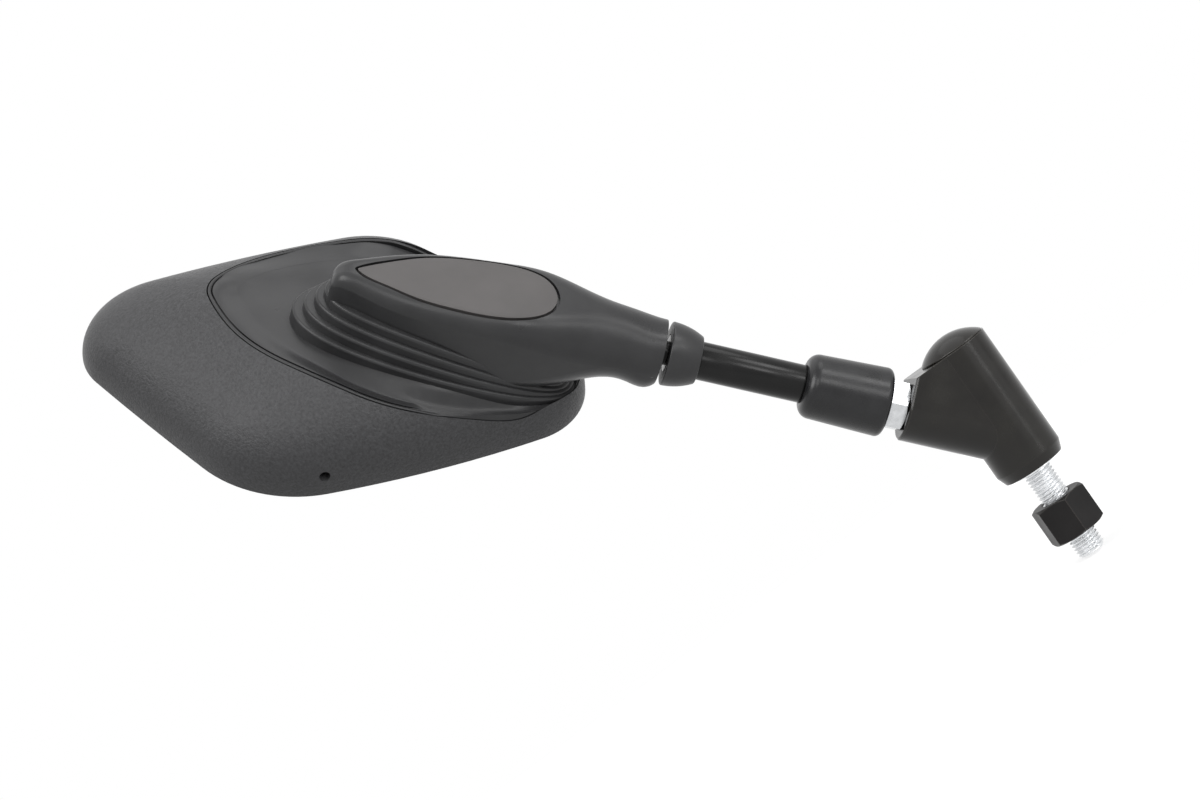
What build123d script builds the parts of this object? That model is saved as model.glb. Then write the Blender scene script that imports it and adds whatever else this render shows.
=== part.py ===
from build123d import *
from math import cos, radians, sin, sqrt, tan
import os

# Motorcycle mirror: a moulded head on a ball-ended stem, and a Y-shaped adapter that swivels on
# a threaded stud. The origin is on the stud's axis, at the seat plane under the mount nut. +Z runs
# up the stud, +X is outboard, the way the stem leans, and +Y is forward, so the glass faces
# rearward. All sizes are in millimetres.

# Clearances
RUN_CLEAR = 0.05  # radial, pieces that turn on each other
THREAD_CLEAR = 0.06  # radial, a nut's plain bore over its thread's crest
FACE_CLEAR = 0.05  # between flat faces of pieces that move past each other
SLIDE_CLEAR = 0.15  # radial, the boot on the rod
FIT_GAP = 0.1  # a moulded piece in its pocket
SCREW_CLEAR = 0.2  # radial, a screw's shank in the piece it passes through
PILOT_CLEAR = 0.05  # radial, a screw's shank in the hole it cuts its thread in
HEAD_CLEAR = 0.3  # radial, the bolt in the adapter's plain holes
RETAINER_CLEAR = 0.2  # round the spring's retainer
END_CLEAR = 0.5  # between the stem's end and the bottom of its hole

# Stud, bolt and mount nut
STUD_R = 5.0
STUD_FREE = 7.7
STUD_CHAMFER = 1.2
STUD_CHAMFER_DEPTH = 1.0
RELIEF_WIDTH = 0.8
RELIEF_DEPTH = 0.25
BOLT_HEAD_R = 8.0
BOLT_HEAD_H = 8.0
BOLT_SOCKET_FLATS = 8.0
BOLT_SOCKET_DEPTH = 4.5
WASHER_T = 1.6
MOUNT_NUT_FLATS = 17.6
MOUNT_NUT_H = 13.4
NUT_BEVEL_RATIO = 1.1  # of a nut's end chamfer to the height of its corners over its flats
NUT_BEVEL_ANGLE = 30.0
NUT_SINK = 0.6
NUT_TURN = 30.0  # sets a corner towards the front

# Adapter
ADAPTER_FOOT = 25.7
ADAPTER_TOP = 72.1
ADAPTER_R = 12.0
ADAPTER_FOOT_R = 10.7
ADAPTER_FOOT_TAPER = 3.4
CROSSING = 39.7  # height at which the stem's axis meets the stud's
ARM_ANGLE = 42.0
ARM_R = 10.8
ARM_REACH = 35.2  # from the crossing, along the stem
ARM_EDGE = 0.6
ARM_THREAD_DEPTH = 16.0
HEAD_SEAT = 58.0
BUSH_R = 6.5
BUSH_LENGTH = 12.0
BUSH_FLANGE_R = 7.2
BUSH_FLANGE_T = 0.9
CAP_RISE = 5.0
CAP_PLUG_DEPTH = 2.5
CAP_PLUG_WALL = 1.6
CAP_EDGE = 0.5

# Stem, measured along its axis from the crossing
THREAD_R = 5.0
ROD_R = 6.2
ROD_START = 55.0
ROD_TAPER = 2.0
ROD_END = 114.3
SHANK_R = 3.9
BALL_AT = 136.2
BALL_R = 7.5
LOCK_NUT_FLATS = 15.0
LOCK_NUT_H = 8.8
BOOT_START = 41.2
BOOT_LENGTH = 27.9
BOOT_WIDE_R = 11.35
BOOT_NARROW_R = 10.4
BOOT_POCKET_R = 9.2
BOOT_POCKET_DEPTH = 14.8
BOOT_NARROW_ROUND = 4.0
BOOT_WIDE_ROUND = 2.0
COLLAR_LENGTH = 10.5
COLLAR_WIDE_R = 10.4
COLLAR_MID_R = 9.6
COLLAR_MID_AT = 4.7  # from the collar's narrow end
COLLAR_NARROW_R = 7.7
COLLAR_EDGE = 0.5

# Ball joint, in the neck's own frame: x from the ball towards the collar, z out of the head's back
SEAT_T = 1.45
LINER_FROM = 50.0  # degrees from the stem's direction
LINER_TO = 80.0
CUP_TO = 65.0  # degrees from the opposite direction
NECK_REACH = 20.0
NECK_MOUTH_R = 8.0
NECK_THROAT_R = 5.65
SPRING_R = 5.5
SPRING_WIRE_R = 0.7
SPRING_TURNS = 3
RETAINER_AT = 18.5
RETAINER_T = 2.5
RETAINER_W = 27.0
RETAINER_H = 14.0
RETAINER_ROUND = 3.0
RETAINER_SCREW_AT = 10.95
RETAINER_SCREW_LENGTH = 11.0

# Head, in its own frame: u along the glass towards the stem, v across it, w out of the back
HEAD_TWIST = 39.3  # of the back's normal about the stem, from forward towards up
HEAD_PITCH = 13.3  # of the neck below the plane of the rim
HEAD_YAW = 4.95  # of the neck across the head
BALL_IN_HEAD = (86.0, -11.2, 28.3)
# Rim: each corner's place and rounding, and the bow of the side that runs on from it
RIM_CORNERS = (
    (-97.7, 16.0, 19.9, 1.2),
    (-23.2, -57.6, 43.4, 5.1),
    (95.6, -15.0, 22.8, 5.2),
    (13.6, 53.2, 38.3, 2.9),
)
CROWN = (20.0, -3.0)
CROWN_REACH = 55.0  # mean distance from the crown to the rim
DOME_STEPS = ((1.0, 0.0), (0.988, 6.5), (0.94, 13.6), (0.80, 21.9), (0.60, 28.0), (0.40, 31.0))
WALL = 2.5
RIM_LIP = 2.4
LEDGE_WIDTH = 6.0
LEDGE_AT = 5.9
LEDGE_T = 1.8
GLASS_CLEAR = 0.4
GLASS_T = 2.5
GLASS_CURVE_R = 1200.0
GLASS_LOW = 0.3
DRAIN_R = 1.75
DRAIN_AT = (-0.6, -56.0, 7.6)
DRAIN_DEPTH = 16.0

# Neck moulding in the shell
JOINT_CENTRE = (19.0, 0.0)
JOINT_LINE = (
    (-40.4, 7.5),
    (-30.5, -9.7),
    (-11.9, -24.9),
    (4.4, -33.2),
    (25.2, -36.8),
    (46.3, -34.5),
    (67.4, -27.0),
    (79.3, -13.0),
    (74.0, 7.0),
    (52.0, 28.0),
    (26.7, 37.0),
    (5.0, 38.3),
    (-17.0, 34.0),
    (-34.4, 22.8),
)
JOINT_GAP = 0.4
JOINT_STEP = 0.25
FLANGE_CLEAR = 0.3
FLANGE_LAP = 7.0
FLANGE_T = 2.5
DISH_WALL = 3.0
DISH_MARGIN = (14.0, 1.5)  # how far the dish's sections run on past the joint line, and rise there
# Stepped ribs round the foot of the neck: place and height of each one's tail, crown and tip
TERRACES = (
    ((-97.0, -18.0), (-52.0, -13.4), (-2.4, -20.2)),
    ((-93.8, -13.8), (-52.0, -9.9), (-3.6, -19.4)),
    ((-90.8, -9.6), (-52.0, -6.4), (-4.8, -18.6)),
    ((-88.4, -5.8), (-52.0, -2.9), (-6.0, -17.8)),
)
TERRACE_NEAR = 23.5
TERRACE_FAR = 17.0
TERRACE_STEP = 1.3
TERRACE_TURN = -2.9  # of the ribs about their common tip
TERRACE_FLOOR = -30.0
TERRACE_EDGE = 0.9
SHELL_SCREWS = (1, 3, 13)  # the points of the joint line next to which they stand
SHELL_SCREW_OUT = 5.0
SHELL_BOSS_R = 3.2
SHELL_BOSS_AT = 14.0
SHELL_PAD_R = 5.2
SHELL_PAD_FLOOR = 2.0
SHELL_SCREW_LENGTH = 8.0
SCREW_R = 1.2
SCREW_HEAD_R = 2.6
SCREW_HEAD_H = 2.0
SCREW_HEAD_ROUND = 0.9
SCREW_CROSS_REACH = 3.1
SCREW_CROSS_WIDTH = 0.6
SCREW_TIP_R = 0.36

# Body of the neck: place along the axis, middle, half width, top, bottom and corner radius
NECK_SECTIONS = (
    (-87.2, -0.4, 3.2, 1.0, -14.0, 2.6),
    (-85.0, -0.5, 4.8, 5.2, -16.0, 3.4),
    (-80.0, -0.7, 6.6, 7.2, -18.0, 4.2),
    (-72.0, -0.9, 9.8, 8.3, -18.6, 4.6),
    (-59.0, -1.0, 13.4, 10.0, -19.0, 5.2),
    (-47.0, -1.2, 14.8, 11.4, -19.0, 5.6),
    (-35.0, -1.3, 15.6, 12.6, -19.0, 6.2),
    (-22.0, -0.8, 15.9, 13.7, -18.2, 8.5),
    (-10.0, -0.4, 14.5, 13.4, -16.4, 11.4),
    (0.0, 0.0, 12.5, 12.5, -12.9, 12.1),
    (10.0, 0.0, 11.35, 11.35, -11.35, 11.0),
    (NECK_REACH, 0.0, 10.4, 10.4, -10.4, 10.0),
)
# Dish round the foot of the neck: place along the neck, then across it and up at the near joint
# line, half-way in, at the ribs' near foot, under the neck, at the ribs' far foot, half-way out
# and at the far joint line
DISH_SECTIONS = (
    (
        -134.0,
        (-16.0, -31.5), (-8.0, -31.8), (0.0, -32.0), (5.0, -32.2),
        (10.0, -32.6), (18.0, -34.0), (28.0, -36.0),
    ),
    (
        -121.0,
        (-8.0, -28.9), (-2.0, -29.0), (3.0, -29.2), (7.0, -29.5),
        (11.0, -30.0), (17.0, -30.8), (26.0, -32.8),
    ),
    (
        -108.0,
        (-12.5, -26.1), (-6.0, -25.6), (0.0, -25.3), (6.0, -25.3),
        (12.0, -25.8), (21.0, -27.6), (33.0, -32.6),
    ),
    (
        -96.0,
        (-20.8, -22.9), (-14.0, -23.0), (-6.0, -23.0), (2.0, -23.0),
        (10.0, -23.4), (22.0, -25.0), (37.5, -29.3),
    ),
    (
        -81.0,
        (-28.2, -20.3), (-20.0, -20.2), (-13.3, -19.2), (1.0, -20.0),
        (15.0, -19.5), (28.0, -22.5), (41.6, -26.1),
    ),
    (
        -61.0,
        (-30.6, -20.1), (-25.5, -19.4), (-20.6, -16.8), (-2.0, -19.0),
        (17.0, -17.4), (29.0, -20.5), (42.8, -25.1),
    ),
    (
        -47.0,
        (-28.9, -20.5), (-25.8, -19.6), (-22.4, -16.8), (-3.0, -19.5),
        (16.0, -17.4), (27.0, -20.5), (40.0, -24.8),
    ),
    (
        -28.0,
        (-23.6, -20.6), (-21.6, -20.2), (-19.6, -18.8), (-3.0, -21.0),
        (13.0, -19.0), (23.0, -21.0), (32.0, -23.6),
    ),
    (
        -13.0,
        (-17.9, -20.2), (-16.0, -20.5), (-13.5, -20.4), (-3.0, -21.5),
        (8.0, -20.6), (13.0, -21.0), (20.0, -22.0),
    ),
    (
        4.0,
        (-12.0, -19.8), (-8.0, -20.2), (-4.0, -20.4), (0.0, -20.5),
        (4.0, -20.5), (8.0, -20.4), (12.0, -20.4),
    ),
)
DISH_TOP = 30.0
# Recess in the neck's top: its two ends, and the half width at places between them
INSERT_ENDS = (-80.6, -15.4)
INSERT_SIDES = (
    (-79.0, 1.9),
    (-71.0, 5.6),
    (-60.0, 9.6),
    (-49.0, 11.6),
    (-36.0, 12.4),
    (-25.5, 10.9),
    (-18.0, 6.6),
)
INSERT_MIDDLE = -1.0  # across the neck
INSERT_GAP = 0.9
INSERT_FLOOR = (-80.0, 4.6)  # a point of the recess's floor
INSERT_SLOPE = 7.0
INSERT_PEG_R = 1.8
INSERT_PEG_LENGTH = 4.0
INSERT_PEGS = (20.0, 42.0)  # along the floor, from its point
CAVITY = ((61.0, 10.0), (45.0, 12.3), (21.0, 9.5), (8.0, 4.6))  # along the floor, half width
CAVITY_SKIN = 2.0
CAVITY_DEPTH = 45.0

# Allowances for cutting cleanly past a face
OVERCUT = 1.0
JOINT_REACH = 90.0  # the joint line's prism stands well past the neck

BASE = (Align.CENTER, Align.CENTER, Align.MIN)
ARM_SIDE = (Align.MIN, Align.CENTER, Align.CENTER)
ARM_TURN = radians(ARM_ANGLE)
STEM_DIR = Vector(sin(ARM_TURN), 0, cos(ARM_TURN))
STEM_UP = Vector(-cos(ARM_TURN), 0, sin(ARM_TURN))
STEM_ROOT = Vector(0, 0, CROSSING)
STEM = Plane(STEM_ROOT, x_dir=-STEM_UP, z_dir=STEM_DIR).location

TWIST = radians(HEAD_TWIST)
PITCH = radians(HEAD_PITCH)
YAW = radians(HEAD_YAW)
NECK_OUT = Vector(0, cos(TWIST), 0) + STEM_UP * sin(TWIST)
NECK_IN_ROW = Plane(STEM_ROOT + STEM_DIR * BALL_AT, x_dir=-STEM_DIR, z_dir=NECK_OUT).location
NECK = Plane(
    BALL_IN_HEAD,
    x_dir=(cos(PITCH) * cos(YAW), -cos(PITCH) * sin(YAW), -sin(PITCH)),
    z_dir=(sin(PITCH) * cos(YAW), -sin(PITCH) * sin(YAW), cos(PITCH)),
).location
HEAD = NECK_IN_ROW * NECK.inverse()
RECESS = Pos(INSERT_FLOOR[0], 0, INSERT_FLOOR[1]) * Rot(0, -INSERT_SLOPE, 0)
ALONG_NECK = Rot(0, 90, 0)  # turns +Z to the neck's x axis

LEDGE_TOP = LEDGE_AT + LEDGE_T
FLANGE_INSET = WALL + FLANGE_CLEAR
SOCKET_R = BALL_R + RUN_CLEAR + SEAT_T + RUN_CLEAR
HEAD_COUNTERBORE_R = BOLT_HEAD_R + HEAD_CLEAR


def disc(radius, low, high):
    """A round bar on the Z axis between two heights."""
    return Pos(0, 0, low) * Cylinder(radius, high - low, align=BASE)


def taper(low_radius, high_radius, low, high):
    """A tapered bar on the Z axis between two heights."""
    return Pos(0, 0, low) * Cone(low_radius, high_radius, high - low, align=BASE)


def hex_nut(flats, height, thread_r):
    """A nut on the Z axis from 0 up, its corners chamfered at both ends and its bore countersunk."""
    corner_r = flats / sqrt(3)
    bevel = (corner_r - flats / 2) * NUT_BEVEL_RATIO
    blank = extrude(RegularPolygon(flats / 2, 6, major_radius=False, rotation=NUT_TURN), height)
    crown = disc(corner_r, 0, height)
    crown = chamfer(crown.edges().filter_by(GeomType.CIRCLE), bevel * tan(radians(NUT_BEVEL_ANGLE)), bevel)
    bore_r = thread_r + THREAD_CLEAR
    nut = (blank & crown) - disc(bore_r, -OVERCUT, height + OVERCUT)
    nut -= taper(bore_r + NUT_SINK, bore_r, 0, NUT_SINK)
    nut -= taper(bore_r, bore_r + NUT_SINK, height - NUT_SINK, height)
    return nut


def screw(length):
    """A pan-headed screw on the Z axis: its head hangs below 0 and its shank stands up from it."""
    head = fillet(disc(SCREW_HEAD_R, -SCREW_HEAD_H, 0).edges().group_by(Axis.Z)[0], SCREW_HEAD_ROUND)
    cross = Box(SCREW_CROSS_REACH, SCREW_CROSS_WIDTH, SCREW_HEAD_H)
    cross += Box(SCREW_CROSS_WIDTH, SCREW_CROSS_REACH, SCREW_HEAD_H)
    shank = disc(SCREW_R, 0, length - SCREW_R) + taper(SCREW_R, SCREW_TIP_R, length - SCREW_R, length)
    return head + shank - Pos(0, 0, -SCREW_HEAD_H) * cross


# Stud, bolt and mount nut
def pivot_bolt():
    seat = HEAD_SEAT + FACE_CLEAR + WASHER_T
    bolt = disc(STUD_R, -STUD_FREE + STUD_CHAMFER, seat)
    bolt += taper(STUD_R - STUD_CHAMFER_DEPTH, STUD_R, -STUD_FREE, -STUD_FREE + STUD_CHAMFER)
    head = disc(BOLT_HEAD_R, seat, seat + BOLT_HEAD_H)
    bolt += chamfer(head.edges().group_by(Axis.Z)[-1], CAP_EDGE)
    socket = extrude(RegularPolygon(BOLT_SOCKET_FLATS / 2, 6, major_radius=False), BOLT_SOCKET_DEPTH)
    bolt -= Pos(0, 0, seat + BOLT_HEAD_H - BOLT_SOCKET_DEPTH) * socket
    # A shallow relief, inside the nut, parts the free stretch of the stud from the one that the nut runs on.
    relief = disc(STUD_R + OVERCUT, 0, RELIEF_WIDTH) - disc(STUD_R - RELIEF_DEPTH, 0, RELIEF_WIDTH)
    return bolt - Pos(0, 0, FIT_GAP) * relief


def bolt_washer():
    low = HEAD_SEAT + FACE_CLEAR
    return disc(BOLT_HEAD_R, low, low + WASHER_T) - disc(STUD_R, low - OVERCUT, low + WASHER_T + OVERCUT)


def mount_nut():
    return hex_nut(MOUNT_NUT_FLATS, MOUNT_NUT_H, STUD_R)


# Adapter
def pivot_bush():
    bush = disc(BUSH_R, ADAPTER_FOOT, ADAPTER_FOOT + BUSH_LENGTH)
    bush += disc(BUSH_FLANGE_R, ADAPTER_FOOT - BUSH_FLANGE_T, ADAPTER_FOOT)
    return bush - disc(STUD_R + RUN_CLEAR, 0, ADAPTER_TOP)


def adapter_body():
    taper_top = ADAPTER_FOOT + ADAPTER_FOOT_TAPER
    post = disc(ADAPTER_R, taper_top, ADAPTER_TOP)
    post += taper(ADAPTER_FOOT_R, ADAPTER_R, ADAPTER_FOOT, taper_top)
    # The arm is round below and runs up with flat sides to the adapter's top.
    profile = Circle(ARM_R) + Rectangle(ADAPTER_TOP, 2 * ARM_R, align=(Align.MAX, Align.CENTER))
    arm = extrude(profile, ARM_REACH)
    arm = chamfer(arm.edges().group_by(Axis.Z)[-1], ARM_EDGE)
    # Only the half of the arm on its own side of the post shows.
    body = post + (STEM * arm & Box(ADAPTER_TOP, 2 * ADAPTER_TOP, 2 * ADAPTER_TOP, align=ARM_SIDE))
    body -= Pos(0, 0, ADAPTER_TOP) * Box(2 * ADAPTER_TOP, 2 * ADAPTER_TOP, ADAPTER_TOP, align=BASE)
    body -= disc(HEAD_COUNTERBORE_R, HEAD_SEAT, ADAPTER_TOP + OVERCUT)
    body -= disc(BUSH_R, ADAPTER_FOOT - OVERCUT, ADAPTER_FOOT + BUSH_LENGTH)
    body -= disc(STUD_R + HEAD_CLEAR, ADAPTER_FOOT, HEAD_SEAT + OVERCUT)
    thread_r = THREAD_R + THREAD_CLEAR
    body -= STEM * disc(thread_r, ARM_REACH - ARM_THREAD_DEPTH, ARM_REACH + OVERCUT)
    return body


def dome_cap():
    """A shallow spherical cap whose hollow plug sits in the bolt's counterbore."""
    radius = (ADAPTER_R**2 + CAP_RISE**2) / (2 * CAP_RISE)
    cap = Pos(0, 0, ADAPTER_TOP + CAP_RISE - radius) * Sphere(radius)
    cap &= disc(ADAPTER_R, ADAPTER_TOP, ADAPTER_TOP + CAP_RISE)
    cap -= disc(ADAPTER_R, ADAPTER_TOP, ADAPTER_TOP + CAP_EDGE) - disc(
        ADAPTER_R - CAP_EDGE, ADAPTER_TOP, ADAPTER_TOP + CAP_EDGE
    )
    plug_r = HEAD_COUNTERBORE_R - FIT_GAP
    plug = disc(plug_r, ADAPTER_TOP - CAP_PLUG_DEPTH, ADAPTER_TOP)
    plug -= disc(plug_r - CAP_PLUG_WALL, ADAPTER_TOP - CAP_PLUG_DEPTH - OVERCUT, ADAPTER_TOP)
    return cap + plug


# Stem
def stem_rod():
    thread_end = ARM_REACH - ARM_THREAD_DEPTH + END_CLEAR
    rod = disc(THREAD_R, thread_end, ROD_START - ROD_TAPER)
    rod = chamfer(rod.edges().group_by(Axis.Z)[0], STUD_CHAMFER_DEPTH)
    rod += taper(THREAD_R, ROD_R, ROD_START - ROD_TAPER, ROD_START)
    rod += disc(ROD_R, ROD_START, ROD_END)
    rod += disc(SHANK_R, ROD_END, BALL_AT)
    rod += Pos(0, 0, BALL_AT) * Sphere(BALL_R)
    return STEM * rod


def stem_collar():
    start = ROD_END - COLLAR_LENGTH
    side = ThreePointArc(
        (COLLAR_NARROW_R, start),
        (COLLAR_MID_R, start + COLLAR_MID_AT),
        (COLLAR_WIDE_R, ROD_END),
    )
    rest = Polyline((COLLAR_WIDE_R, ROD_END), (ROD_R, ROD_END), (ROD_R, start), (COLLAR_NARROW_R, start))
    collar = revolve(Plane.XZ * make_face([side, rest]), Axis.Z)
    rings = collar.edges().filter_by(GeomType.CIRCLE)
    rims = rings.filter_by(lambda edge: edge.radius > ROD_R + COLLAR_EDGE)
    return STEM * fillet(rims, COLLAR_EDGE)


def stem_lock_nut():
    return STEM * Pos(0, 0, ARM_REACH + FACE_CLEAR) * hex_nut(LOCK_NUT_FLATS, LOCK_NUT_H, THREAD_R)


def rubber_boot():
    end = BOOT_START + BOOT_LENGTH
    boot = taper(BOOT_WIDE_R, BOOT_NARROW_R, BOOT_START, end)
    boot = fillet(boot.edges().group_by(Axis.Z)[-1], BOOT_NARROW_ROUND - SLIDE_CLEAR)
    boot = fillet(boot.edges().group_by(Axis.Z)[0], BOOT_WIDE_ROUND)
    boot -= disc(BOOT_POCKET_R, BOOT_START - OVERCUT, BOOT_START + BOOT_POCKET_DEPTH)
    return STEM * (boot - disc(ROD_R + SLIDE_CLEAR, BOOT_START, end + OVERCUT))


# Ball joint, in the neck's frame
def ball_shell(from_angle, to_angle):
    """A zone of a spherical shell about the neck's axis, between two angles from the collar's direction."""
    inner = BALL_R + RUN_CLEAR
    outer = inner + SEAT_T

    def at(radius, angle):
        return (radius * cos(radians(angle)), radius * sin(radians(angle)))

    middle = (from_angle + to_angle) / 2
    edges = [
        ThreePointArc(at(inner, from_angle), at(inner, middle), at(inner, to_angle)),
        ThreePointArc(at(outer, from_angle), at(outer, middle), at(outer, to_angle)),
        Line(at(inner, from_angle), at(outer, from_angle)),
        Line(at(inner, to_angle), at(outer, to_angle)),
    ]
    return revolve(make_face(edges), Axis.X)


def ball_liner():
    return NECK_IN_ROW * ball_shell(LINER_FROM, LINER_TO)


def pressure_cup():
    return NECK_IN_ROW * ball_shell(180 - CUP_TO, 180)


def ball_spring():
    reach = BALL_R + RUN_CLEAR + SEAT_T + FIT_GAP + SPRING_WIRE_R
    start = sqrt(reach**2 - SPRING_R**2)
    height = RETAINER_AT - SPRING_WIRE_R - FACE_CLEAR - start
    path = Helix(height / SPRING_TURNS, height, SPRING_R)
    wire = Plane(path @ 0, z_dir=path % 0) * Circle(SPRING_WIRE_R)
    coil = sweep(wire, path)
    return NECK_IN_ROW * (Pos(-start, 0, 0) * Rot(0, -90, 0) * coil)


def retainer_screw_places():
    return [Pos(-RETAINER_AT - RETAINER_T, side * RETAINER_SCREW_AT, 0) * ALONG_NECK for side in (-1, 1)]


def spring_retainer():
    plate = extrude(RectangleRounded(RETAINER_H, RETAINER_W, RETAINER_ROUND), RETAINER_T)
    plate = Pos(-RETAINER_AT - RETAINER_T, 0, 0) * ALONG_NECK * plate
    for place in retainer_screw_places():
        plate -= place * disc(SCREW_R + SCREW_CLEAR, -OVERCUT, RETAINER_T + OVERCUT)
    return NECK_IN_ROW * plate


def retainer_screws():
    screws = [place * screw(RETAINER_SCREW_LENGTH) for place in retainer_screw_places()]
    return NECK_IN_ROW * Compound(children=screws)


# Head
def moved_in(before, corner, after, inset):
    """A corner of an outline after its two sides have moved in."""
    back = (before - corner).normalized()
    ahead = (after - corner).normalized()
    inward = (back + ahead).normalized()
    return corner + inward * (inset / sin(radians(inward.get_angle(ahead))))


def rim_outline(share, inset=0):
    """The rim's rounded rhombus with bowed sides, shrunk towards the crown or with its sides moved in."""
    crown = Vector(*CROWN)
    corners = [crown + (Vector(u, v) - crown) * share for u, v, _, _ in RIM_CORNERS]
    count = len(corners)
    corners = [moved_in(corners[i - 1], corners[i], corners[(i + 1) % count], inset) for i in range(count)]
    sides = []
    for start, end, (_, _, _, bow) in zip(corners, corners[1:] + corners[:1], RIM_CORNERS):
        run = end - start
        out = Vector(run.Y, -run.X).normalized()
        sides.append(ThreePointArc(start, (start + end) / 2 + out * bow * share, end))
    face = make_face(sides)
    for corner, (_, _, rounding, _) in zip(corners, RIM_CORNERS):
        face = fillet(face.vertices().sort_by_distance(corner)[0], rounding * share - inset)
    return face


def dome(inset):
    """The head's rounded back as a solid, drawn in by an inset and then open at the rim."""
    sections = []
    for share, height in DOME_STEPS:
        if inset:
            height = height - inset if height else -OVERCUT
        sections.append(Pos(0, 0, height) * rim_outline(share - inset / CROWN_REACH))
    return loft(sections)


def rim_prism(inset, low, high):
    return Pos(0, 0, low) * extrude(rim_outline(1.0, inset), high - low)


def joint_points(grow):
    """The points of the joint line, moved out from its centre."""
    centre = Vector(*JOINT_CENTRE)
    outs = [Vector(*point) - centre for point in JOINT_LINE]
    return [centre + out * (1 + grow / out.length) for out in outs]


def joint_prism(grow):
    """The oval, seen from behind, in which the neck moulding shows in the shell."""
    oval = make_face(Spline(*joint_points(grow), periodic=True))
    return Pos(0, 0, LEDGE_TOP + FLANGE_CLEAR) * extrude(oval, JOINT_REACH)


def shell_screw_places():
    points = joint_points(SHELL_SCREW_OUT)
    return [Pos(points[i].X, points[i].Y, SHELL_BOSS_AT) for i in SHELL_SCREWS]


def glass_ball(radius):
    return Pos(0, 0, GLASS_LOW + GLASS_CURVE_R) * Sphere(radius)


def mirror_glass():
    glass = rim_prism(RIM_LIP + GLASS_CLEAR, -OVERCUT, LEDGE_AT)
    return HEAD * ((glass & glass_ball(GLASS_CURVE_R)) - glass_ball(GLASS_CURVE_R - GLASS_T))


def glass_pad():
    pad = rim_prism(RIM_LIP + GLASS_CLEAR, OVERCUT, LEDGE_AT)
    pad -= rim_prism(RIM_LIP + LEDGE_WIDTH, 0, LEDGE_AT + OVERCUT)
    return HEAD * (pad & glass_ball(GLASS_CURVE_R - GLASS_T))


def housing_shell():
    room = dome(WALL) - rim_prism(-OVERCUT, -2 * OVERCUT, LEDGE_TOP)
    shell = dome(0) - room
    shell -= rim_prism(RIM_LIP, -OVERCUT, LEDGE_AT)
    shell -= rim_prism(RIM_LIP + LEDGE_WIDTH, 0, LEDGE_TOP + OVERCUT)
    shell -= joint_prism(0)
    within = dome(WALL / 2)
    for place in shell_screw_places():
        boss = disc(SHELL_BOSS_R, SHELL_PAD_FLOOR + FIT_GAP, DOME_STEPS[-1][1]) & place.inverse() * within
        shell += place * boss
        shell -= place * disc(SCREW_R + PILOT_CLEAR, -OVERCUT, SHELL_SCREW_LENGTH + FIT_GAP)
    drain = Pos(*DRAIN_AT) * Rot(-90, 0, 0) * disc(DRAIN_R, 0, DRAIN_DEPTH)
    return HEAD * (shell - drain)


def shell_screws():
    screws = [place * screw(SHELL_SCREW_LENGTH) for place in shell_screw_places()]
    return HEAD * Compound(children=screws)


def neck_body():
    """The hollowless boat-shaped body that runs out to the round neck."""
    sections = []
    for along, middle, half, top, bottom, corner in NECK_SECTIONS:
        section = RectangleRounded(2 * half, top - bottom, corner)
        plane = Plane((along, middle, (top + bottom) / 2), x_dir=(0, 1, 0), z_dir=(1, 0, 0))
        sections.append(plane * section)
    return loft(sections)


def dish_room(drop):
    """Everything above the dish's floor, or above a floor that lies lower by a drop."""
    out, rise = DISH_MARGIN
    sections = []
    for along, *floor in DISH_SECTIONS:
        near, far = floor[0], floor[-1]
        points = [(near[0] - out, near[1] + rise), *floor, (far[0] + out, far[1] + rise)]
        points = [(across, up - drop) for across, up in points]
        corners = [points[-1], (points[-1][0], DISH_TOP), (points[0][0], DISH_TOP), points[0]]
        section = make_face([Spline(*points), Polyline(*corners)])
        sections.append(Plane((along, 0, 0), x_dir=(0, 1, 0), z_dir=(1, 0, 0)) * section)
    return NECK * loft(sections)


def terraces():
    """Nested oval ribs with arched tops round the foot of the neck, all meeting at their tip."""
    stack = []
    for step, (tail, crown, tip) in enumerate(TERRACES):
        near = TERRACE_NEAR - TERRACE_STEP * step
        far = TERRACE_FAR - TERRACE_STEP * step
        oval = Ellipse((tip[0] - tail[0]) / 2, (near + far) / 2)
        oval = Pos((tip[0] + tail[0]) / 2, (far - near) / 2, TERRACE_FLOOR) * oval
        floor = [tip, (tip[0], TERRACE_FLOOR), (tail[0], TERRACE_FLOOR), tail]
        arch = Plane.XZ * make_face([ThreePointArc(tail, crown, tip), Polyline(*floor)])
        rib = extrude(oval, -TERRACE_FLOOR) & extrude(arch, near + far, both=True)
        stack.append(fillet(rib.edges().group_by(Axis.Z)[-1], TERRACE_EDGE))
    about_tip = Pos(TERRACES[0][-1][0], 0, 0)
    turn = about_tip * Rot(0, 0, TERRACE_TURN) * about_tip.inverse()
    return turn * (stack[0] + stack[1:])


def insert_outline(inset):
    """The drop outline of the recess in the neck's top, on the recess's floor, drawn in by an inset."""
    tip, end = INSERT_ENDS
    near = [(along, -half) for along, half in INSERT_SIDES]
    far = [(along, half) for along, half in reversed(INSERT_SIDES)]
    loop = [Vector(*point) for point in [(tip, 0), *near, (end, 0), *far]]
    points = []
    for before, point, after in zip(loop[-1:] + loop[:-1], loop, loop[1:] + loop[:1]):
        run = (after - before).normalized()
        points.append(point + Vector(-run.Y, run.X) * inset)
    return Pos(-INSERT_FLOOR[0], INSERT_MIDDLE, 0) * make_face(Spline(*points, periodic=True))


def insert_prism(inset, lift):
    return RECESS * Pos(0, 0, lift) * extrude(insert_outline(inset), -INSERT_FLOOR[0])


def insert_plate():
    plate = neck_body() & insert_prism(INSERT_GAP, FIT_GAP)
    for along in INSERT_PEGS:
        plate += RECESS * Pos(along, 0, 0) * disc(INSERT_PEG_R, -INSERT_PEG_LENGTH, FIT_GAP + OVERCUT)
    return NECK_IN_ROW * plate


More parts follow.
